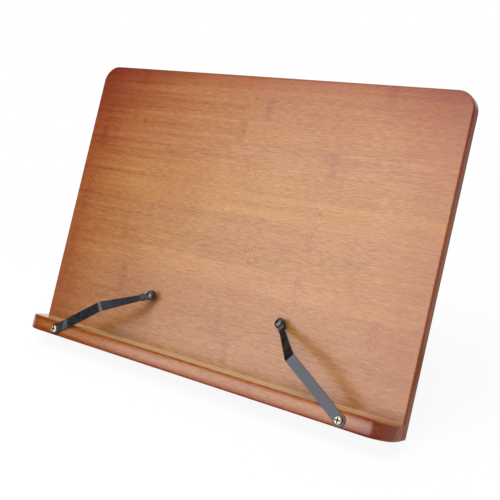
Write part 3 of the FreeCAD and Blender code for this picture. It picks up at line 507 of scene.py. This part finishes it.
zinc = zinc_plate("zinc_plated_steel", "#c6c8c9", "#9fa2a4", bright=0.24)
for side in ("left", "right"):
    finish_node(f"hinge_base_leaf_{side}", zinc)
    finish_node(f"hinge_board_leaf_{side}", zinc)
    finish_node(f"hinge_pin_{side}", zinc)

# ---------------------------------------------------------------- board
# The board that the book leans on, pressed from two layers of bamboo strips, with round corners.
# The stain is deepest along its top and its left edge.
BOARD_SIDE = 170.0
BOARD_TOP = 225.0
BOARD_BACK = 2.8
board_normal = Vector(joints["holder_left_swivel"]["axis"])
board_turn = math.atan2(-board_normal.y, board_normal.z)
board_frame = Matrix.Translation(hinge_axis) @ Matrix.Rotation(board_turn, 4, "X")
finish_node("backrest_board", bamboo("board_bamboo", board_frame, haze=0.28, stains=(
    ({"X": -BOARD_SIDE}, 55, 0.31),
    ({"X": -BOARD_SIDE}, 24, 0.5),
    ({"X": -BOARD_SIDE}, 1.3, 0.5),
    ({"X": -BOARD_SIDE, "Y": BOARD_TOP}, 75, 0.9),
    ({"X": BOARD_SIDE}, 40, 0.35),
    ({"X": BOARD_SIDE}, 1.3, 0.8),
    ({"X": BOARD_SIDE, "Y": BOARD_TOP}, 50, 0.4),
    ({"Y": BOARD_TOP}, 40, 0.3),
    ({"Y": BOARD_TOP}, 10, 0.6),
    ({"Y": BOARD_TOP}, 1.3, 0.6),
    ({"Z": BOARD_BACK}, 1.5, 0.4))))

# ---------------------------------------------------------------- ledge
# A solid bamboo bar that the book stands on, glued to the board's face and screwed to it from
# behind, with round front corners. The stain is deep at the corners, and at the right one it is
# partly painted shade on the curve. Sanding thinned the lacquer along the front edges, and the
# colour there is darkened as painted shade on the round edges. The top face is painted paler, as
# painted light.
LEDGE_TOP = -3.0
LEDGE_UNDER = -15.0
LEDGE_FRONT = 37.8
upper_edge = {"Y": LEDGE_TOP, "Z": LEDGE_FRONT}
lower_edge = {"Y": LEDGE_UNDER, "Z": LEDGE_FRONT}
finish_node("book_ledge", bamboo("ledge_bamboo", board_frame, haze=0.2, stains=(
    ({"Z": LEDGE_FRONT}, 3, 0.3),
    ({"X": -BOARD_SIDE, "Z": LEDGE_FRONT}, 20, 1.0),
    # The right corner's stain is deepened further, partly as painted shade on the round corner.
    ({"X": BOARD_SIDE, "Z": LEDGE_FRONT}, 22, 1.9),
    # Painted light: the top face is painted paler.
    ({"Y": LEDGE_TOP}, 0.8, -1.05),
    # Painted shade along the round front edges, where the lacquer is also sanded thin.
    (upper_edge, 2.3, 1.2),
    (lower_edge, 3.2, 1.3)),
    sanded=((upper_edge, 2.1), (lower_edge, 2.9))))

# ---------------------------------------------------------------- screws in the hinges and the ledge
# Turned steel screws with a cross recess, zinc plated: countersunk ones in the hinge leaves and
# through the board into the ledge. One tree turns a half section into a screw for each place.
EDGE_STEPS = 4
SIDES_ROUND = 24
PIN_POINT = 0.001 * MM
CLOSED_WITHIN = 0.005 * MM
screw_tree, given = new_node_group("cross_head_screws", (
    ("Places", "Geometry"), ("Half Section", "Object"), ("Edge Round", "Float"), ("Head Height", "Float"),
    ("Recess Span", "Float"), ("Recess Slot", "Float"), ("Recess Depth", "Float"), ("Finish", "Material")))
section = add_node(screw_tree, "GeometryNodeObjectInfo", {"Object": given["Half Section"]})
section = add_node(screw_tree, "GeometryNodeMeshToCurve", {0: section.outputs["Geometry"]})
section = add_node(screw_tree, "GeometryNodeFilletCurve",
                   {0: section.outputs[0], "Count": EDGE_STEPS, "Radius": given["Edge Round"],
                    "Limit Radius": True}, mode="POLY")
lathe = add_node(screw_tree, "GeometryNodeCurvePrimitiveCircle",
                 {"Resolution": SIDES_ROUND, "Radius": PIN_POINT})
lathe = add_node(screw_tree, "GeometryNodeSetCurveNormal", {0: lathe.outputs[0]}, mode="Z_UP")
screw = add_node(screw_tree, "GeometryNodeCurveToMesh", {0: lathe.outputs[0], 1: section.outputs[0]})
screw = add_node(screw_tree, "GeometryNodeMergeByDistance",
                 {0: screw.outputs[0], "Distance": CLOSED_WITHIN})
arms = add_node(screw_tree, "GeometryNodeJoinGeometry", {})
for span, slot in (("Recess Span", "Recess Slot"), ("Recess Slot", "Recess Span")):
    size = add_node(screw_tree, "ShaderNodeCombineXYZ",
                    {0: given[span], 1: given[slot], 2: given["Recess Depth"]})
    arm = add_node(screw_tree, "GeometryNodeMeshCube", {"Size": size.outputs[0]})
    screw_tree.links.new(arm.outputs[0], arms.inputs[0])
height = add_node(screw_tree, "ShaderNodeCombineXYZ", {2: given["Head Height"]})
arms = add_node(screw_tree, "GeometryNodeTransform",
                {0: arms.outputs[0], "Translation": height.outputs[0]})
screw = add_node(screw_tree, "GeometryNodeMeshBoolean",
                 {"Mesh 1": screw.outputs[0], "Mesh 2": arms.outputs[0], "Self Intersection": True},
                 operation="DIFFERENCE", solver="EXACT")
axis = add_node(screw_tree, "GeometryNodeInputNamedAttribute", {"Name": "outwards"},
                data_type="FLOAT_VECTOR")
turned = add_node(screw_tree, "FunctionNodeAlignRotationToVector", {"Vector": axis.outputs[0]}, axis="Z")
screws = add_node(screw_tree, "GeometryNodeInstanceOnPoints",
                  {"Points": given["Places"], "Instance": screw.outputs[0], "Rotation": turned.outputs[0]})
screws = add_node(screw_tree, "GeometryNodeRealizeInstances", {0: screws.outputs[0]})
screws = add_node(screw_tree, "GeometryNodeSetMaterial",
                  {0: screws.outputs[0], "Material": given["Finish"]})
add_node(screw_tree, "NodeGroupOutput", {0: screws.outputs[0]})


def head_places(node_name, outwards):
    """The middle of each screw's outer end in a CAD node of several screws."""
    merged = bmesh.new()
    merged.from_mesh(frame["nodes"][node_name].data)
    bmesh.ops.remove_doubles(merged, verts=merged.verts, dist=0.001 * MM)
    waiting = dict.fromkeys(merged.verts)
    places = []
    while waiting:
        first, _ = waiting.popitem()
        solid = [first]
        for vertex in solid:
            for edge in vertex.link_edges:
                other = edge.other_vert(vertex)
                if other in waiting:
                    del waiting[other]
                    solid.append(other)
        end = max(vertex.co.dot(outwards) for vertex in solid)
        middle = sum((vertex.co for vertex in solid), Vector()) / len(solid)
        places.append(middle + outwards * (end - middle.dot(outwards)))
    merged.free()
    return places


def apply_tree(piece):
    """Turn a piece's Geometry Nodes modifiers into its plain mesh."""
    made = bpy.data.meshes.new_from_object(piece.evaluated_get(bpy.context.evaluated_depsgraph_get()))
    piece.modifiers.clear()
    while made.materials and made.materials[0] is None:
        made.materials.pop(index=0)
    piece.data = made


def cross_head_screws(name, body, node_name, outwards, half_section, head_height, edge_round, recess):
    """Replace a CAD node of screws by turned ones. Sizes are in millimetres.

    The recess is (span, slot, depth), and the head's height is what stands above its seat.
    """
    lines = [(i, i + 1) for i in range(len(half_section) - 1)]
    profile = bpy.data.meshes.new(f"{name}_section")
    profile.from_pydata([(radius * MM, depth * MM, 0) for radius, depth in half_section], lines, [])
    section = bpy.data.objects.new(f"{name}_section", profile)
    seats = bpy.data.meshes.new(name)
    places = head_places(node_name, outwards)
    seats.from_pydata([place - outwards * head_height * MM for place in places], [], [])
    axes = seats.attributes.new("outwards", "FLOAT_VECTOR", "POINT")
    for item in axes.data:
        item.vector = outwards
    piece = bpy.data.objects.new(name, seats)
    bpy.context.collection.objects.link(piece)
    span, slot, deep = recess
    add_modifier(piece, screw_tree, {
        "Half Section": section, "Edge Round": edge_round * MM, "Head Height": head_height * MM,
        "Recess Span": span * MM, "Recess Slot": slot * MM, "Recess Depth": 2 * deep * MM, "Finish": zinc})
    add_modifier(piece, shading, {"Crisp From": CRISP_FROM})
    apply_tree(piece)
    bpy.data.objects.remove(section)
    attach(piece, body)
    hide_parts(node_name)


def countersunk(head, shank, length):
    """Half section of a countersunk screw, as radius and depth below its face."""
    return (0, 0), (head, 0), (shank, head - shank), (shank, length - 2 * shank), (0, length)


up = Vector((0, 0, 1))
leaf_screw = {"half_section": countersunk(head=2.4, shank=1.3, length=8), "head_height": 0,
              "edge_round": 0.12, "recess": (2.7, 0.7, 1.1)}
ledge_screw = {"half_section": countersunk(head=3.8, shank=1.9, length=26), "head_height": 0,
               "edge_round": 0.15, "recess": (4.2, 1.0, 1.8)}
cross_head_screws("hinge_screws_base", "base", "base_leaf_screws", up, **leaf_screw)
cross_head_screws("hinge_screws_board", "board", "board_leaf_screws", -board_normal, **leaf_screw)
cross_head_screws("ledge_wood_screws", "board", "ledge_screws", -board_normal, **ledge_screw)

# ---------------------------------------------------------------- strut clips
# Two zinc plated steel strips, pressed into a hump over the wire's pivot stubs. Two pan-head screws
# hold each clip to the board's back.
for side in ("left", "right"):
    finish_node(f"strut_clip_{side}", zinc)

PAN_HEAD = 2.3
PAN_HEIGHT = 1.3
PAN_SHANK = 1.2
PAN_LENGTH = 8
pan_section = ((0, -PAN_HEIGHT), (PAN_HEAD, -PAN_HEIGHT), (PAN_HEAD, 0), (PAN_SHANK, 0),
               (PAN_SHANK, PAN_LENGTH - 2 * PAN_SHANK), (0, PAN_LENGTH))
cross_head_screws("clip_pan_screws", "board", "clip_screws", -board_normal, pan_section,
                  head_height=PAN_HEIGHT, edge_round=0.8, recess=(2.6, 0.7, 0.9))

# ---------------------------------------------------------------- strut
# One length of drawn steel wire, bent to a U with two pivot stubs and zinc plated. Its crossbar
# drops into a groove of the base. The wire is brighter and smoother than the pressed parts.
finish_node("wire_strut", zinc_plate("drawn_steel_wire", "#cfd0d0", "#aaacad", bright=0.18))

# ---------------------------------------------------------------- page holders
# Flat spring steel strips, cut and bent, with a baked black finish. It is smooth and dark blue-grey
# in the light, with cloudy patches and fine rub marks from the pages.
CLOUD_PATCH = 3.846
RUB_MARK = 0.625  # in millimetres, coarser than the real marks so that they show
ROLLED_WAVE = 18.18
black_steel, tree, shader = new_material("blackened_spring_steel")
coords = add_node(tree, "ShaderNodeTexCoord", {})
cloud = add_node(tree, "ShaderNodeTexNoise",
                 {"Vector": coords.outputs["Object"], "Scale": 1 / (CLOUD_PATCH * MM), "Detail": 3.0})
grain = add_node(tree, "ShaderNodeTexNoise",
                 {"Vector": coords.outputs["Object"], "Scale": 1 / (RUB_MARK * MM), "Detail": 2.0})
rolled = add_node(tree, "ShaderNodeTexNoise",
                  {"Vector": coords.outputs["Object"], "Scale": 1 / (ROLLED_WAVE * MM), "Detail": 1.0})
colour = add_node(tree, "ShaderNodeMix", {0: cloud.outputs[0], 6: linear("#0d0e11"), 7: linear("#1b1d22")},
                  data_type="RGBA")
tree.links.new(colour.outputs[2], shader.inputs["Base Color"])
rough = add_node(tree, "ShaderNodeMath", {0: cloud.outputs[0], 1: grain.outputs[0]}, operation="ADD")
rough = add_node(tree, "ShaderNodeMapRange",
                 {"Value": rough.outputs[0], "From Min": 0.6, "From Max": 1.4,
                  "To Min": 0.16, "To Max": 0.32})
tree.links.new(rough.outputs[0], shader.inputs["Roughness"])
wavy = add_node(tree, "ShaderNodeBump",
                {"Height": rolled.outputs[0], "Strength": 1.0, "Distance": 1.2 * MM})
bump = add_node(tree, "ShaderNodeBump",
                {"Height": grain.outputs[0], "Strength": 0.3, "Distance": 0.03 * MM,
                 "Normal": wavy.outputs[0]})
tree.links.new(bump.outputs[0], shader.inputs["Normal"])
shader.inputs["Specular IOR Level"].default_value = 0.64
shader.inputs["Specular Tint"].default_value = linear("#e9ecf7")
for side in ("left", "right"):
    finish_node(f"page_holder_{side}", black_steel)

# ---------------------------------------------------------------- holder tips
# Caps of soft black PVC, dip moulded on the strips' ends, with a wet gloss. The dipping leaves
# ripples that break up the highlights. Three beads run round the mouth of each sleeve.
RIPPLE = 1.4286
pvc, tree, shader = new_material("dipped_pvc")
coords = add_node(tree, "ShaderNodeTexCoord", {})
skin = add_node(tree, "ShaderNodeTexNoise",
                {"Vector": coords.outputs["Object"], "Scale": 1 / (RIPPLE * MM), "Detail": 2.0})
rough = add_node(tree, "ShaderNodeMapRange", {"Value": skin.outputs[0], "To Min": 0.05, "To Max": 0.14})
tree.links.new(rough.outputs[0], shader.inputs["Roughness"])
bump = add_node(tree, "ShaderNodeBump", {"Height": skin.outputs[0], "Strength": 1.0, "Distance": 0.5 * MM})
tree.links.new(bump.outputs[0], shader.inputs["Normal"])
colour = add_node(tree, "ShaderNodeMix", {0: skin.outputs[0], 6: linear("#070708"), 7: linear("#101011")},
                  data_type="RGBA")
tree.links.new(colour.outputs[2], shader.inputs["Base Color"])
shader.inputs["IOR"].default_value = 1.54
shader.inputs["Specular IOR Level"].default_value = 1.0

CORNER_STEPS = 5
SIDES_OF_BEAD = 12
bead_tree, given = new_node_group("sleeve_beads", (
    ("Start", "Geometry"), ("Thickness", "Float"), ("Width", "Float"), ("Corner", "Float"),
    ("Bead Radius", "Float"), ("Pitch", "Float"), ("Count", "Int"), ("Finish", "Material")))
loop = add_node(bead_tree, "GeometryNodeCurvePrimitiveQuadrilateral",
                {"Width": given["Thickness"], "Height": given["Width"]})
loop = add_node(bead_tree, "GeometryNodeFilletCurve",
                {0: loop.outputs[0], "Count": CORNER_STEPS, "Radius": given["Corner"],
                 "Limit Radius": True}, mode="POLY")
bead = add_node(bead_tree, "GeometryNodeCurvePrimitiveCircle",
                {"Resolution": SIDES_OF_BEAD, "Radius": given["Bead Radius"]})
bead = add_node(bead_tree, "GeometryNodeCurveToMesh", {0: loop.outputs[0], 1: bead.outputs[0]})
step = add_node(bead_tree, "ShaderNodeCombineXYZ", {2: given["Pitch"]})
row = add_node(bead_tree, "GeometryNodeMeshLine", {"Count": given["Count"], "Offset": step.outputs[0]})
beads = add_node(bead_tree, "GeometryNodeInstanceOnPoints",
                 {"Points": row.outputs[0], "Instance": bead.outputs[0]})
beads = add_node(bead_tree, "GeometryNodeRealizeInstances", {0: beads.outputs[0]})
beads = add_node(bead_tree, "GeometryNodeSetMaterial", {0: beads.outputs[0], "Material": given["Finish"]})
add_node(bead_tree, "NodeGroupOutput", {0: beads.outputs[0]})

# In millimetres. A strip runs from its pivot to an elbow, and from there it falls to the board.
LEDGE_DEPTH = 25.0
TIP_RADIUS = 3.8
TIP_CLEAR = 0.3
STRIP_ELBOW = 54.2
STRIP_RUN = 87.2
ELBOW_HEIGHT = 4.8
SLEEVE_LENGTH = 9.5
SLEEVE_THICKNESS = 2.8
SLEEVE_WIDTH = 5.6
SLEEVE_CORNER = 1.1
BEAD_RADIUS = 0.35
BEAD_PITCH = 1.3
BEAD_COUNT = 3
BEADS_CRISP_FROM = math.radians(40)
tip_height = TIP_RADIUS + TIP_CLEAR - LEDGE_DEPTH
fall = math.atan2(ELBOW_HEIGHT - tip_height, STRIP_RUN - STRIP_ELBOW)
for side in ("left", "right"):
    finish_node(f"holder_tip_{side}", pvc)
    pivot = Vector(joints[f"holder_{side}_swivel"]["pos_m"])
    low, high = [Vector(corner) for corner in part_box(f"holder_tip_{side}")]
    reach = (low + high) / 2 - pivot
    along = (reach - board_normal * reach.dot(board_normal)).normalized()
    turn = Matrix((along, board_normal.cross(along), board_normal)).transposed().to_4x4()
    tip_end = Matrix.Translation(Vector((STRIP_RUN, 0, tip_height)) * MM)
    tip_frame = Matrix.Translation(pivot) @ turn @ tip_end @ Matrix.Rotation(fall, 4, "Y")
    mouth = tip_frame @ Matrix.Translation(Vector((-SLEEVE_LENGTH + BEAD_PITCH / 2, 0, 0)) * MM)
    beads = bpy.data.objects.new(f"tip_beads_{side}", bpy.data.meshes.new(f"tip_beads_{side}"))
    bpy.context.collection.objects.link(beads)
    add_modifier(beads, bead_tree, {
        "Thickness": SLEEVE_THICKNESS * MM, "Width": SLEEVE_WIDTH * MM, "Corner": SLEEVE_CORNER * MM,
        "Bead Radius": BEAD_RADIUS * MM, "Pitch": BEAD_PITCH * MM, "Count": BEAD_COUNT, "Finish": pvc})
    add_modifier(beads, shading, {"Crisp From": BEADS_CRISP_FROM})
    apply_tree(beads)
    beads.data.transform(mouth @ Matrix.Rotation(math.pi / 2, 4, "Y"))
    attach(beads, f"holder_{side}")

# ---------------------------------------------------------------- pivot screws
# Pan-head screws that the holders swivel on, with a cross recess. Their pale yellow zinc plating
# is bright on the head, and the recess is painted dark, as painted shade in the hollow.
RECESS_SPAN = 3.8
RECESS_SLOT = 1.0
# Painted shade fills the cross recess. In millimetres, it fades out across each arm's side between the
# first two sizes and stops past the arm's end.
RECESS_SHADE_FROM = RECESS_SLOT / 2 - 0.1
RECESS_SHADE_TO = RECESS_SLOT / 2 + 0.15
RECESS_SHADE_END = RECESS_SPAN / 2 + 0.1
PASSIVATED_PATCH = 1.111
for side in ("left", "right"):
    passivated, tree, shader = new_material(f"yellow_passivated_zinc_{side}")
    pivot = Vector(joints[f"holder_{side}_swivel"]["pos_m"])
    own = own_millimetres(tree, Matrix.Translation(pivot) @ Matrix.Rotation(board_turn, 4, "X"))
    axes = add_node(tree, "ShaderNodeSeparateXYZ", {0: own}).outputs
    # Painted shade: a mask that is 1 in the arms of the cross recess.
    across = add_node(tree, "ShaderNodeMath", {0: axes["X"]}, operation="ABSOLUTE")
    down = add_node(tree, "ShaderNodeMath", {0: axes["Y"]}, operation="ABSOLUTE")
    near = add_node(tree, "ShaderNodeMath", {0: across.outputs[0], 1: down.outputs[0]},
                    operation="MINIMUM")
    far = add_node(tree, "ShaderNodeMath", {0: across.outputs[0], 1: down.outputs[0]}, operation="MAXIMUM")
    inside = add_node(tree, "ShaderNodeMapRange",
                      {"Value": near.outputs[0], "From Min": RECESS_SHADE_FROM, "From Max": RECESS_SHADE_TO,
                       "To Min": 1.0, "To Max": 0.0})
    short = add_node(tree, "ShaderNodeMath", {0: far.outputs[0], 1: RECESS_SHADE_END}, operation="LESS_THAN")
    recess_shade = add_node(tree, "ShaderNodeMath", {0: inside.outputs[0], 1: short.outputs[0]},
                     operation="MULTIPLY")
    cloud = add_node(tree, "ShaderNodeTexNoise",
                     {"Vector": own, "Scale": 1 / PASSIVATED_PATCH, "Detail": 3.0})
    plate = add_node(tree, "ShaderNodeMix",
                     {0: cloud.outputs[0], 6: linear("#d9d2bb"), 7: linear("#c4baa0")}, data_type="RGBA")
    # The recess mask mixes in a dark colour, as painted shade.
    colour = add_node(tree, "ShaderNodeMix",
                      {0: recess_shade.outputs[0], 6: plate.outputs[2], 7: linear("#2a2418")}, data_type="RGBA")
    tree.links.new(colour.outputs[2], shader.inputs["Base Color"])
    rough = add_node(tree, "ShaderNodeMapRange",
                     {"Value": cloud.outputs[0], "To Min": 0.38, "To Max": 0.58})
    tree.links.new(rough.outputs[0], shader.inputs["Roughness"])
    shader.inputs["Metallic"].default_value = 1.0
    finish_node(f"pivot_screw_{side}", passivated)
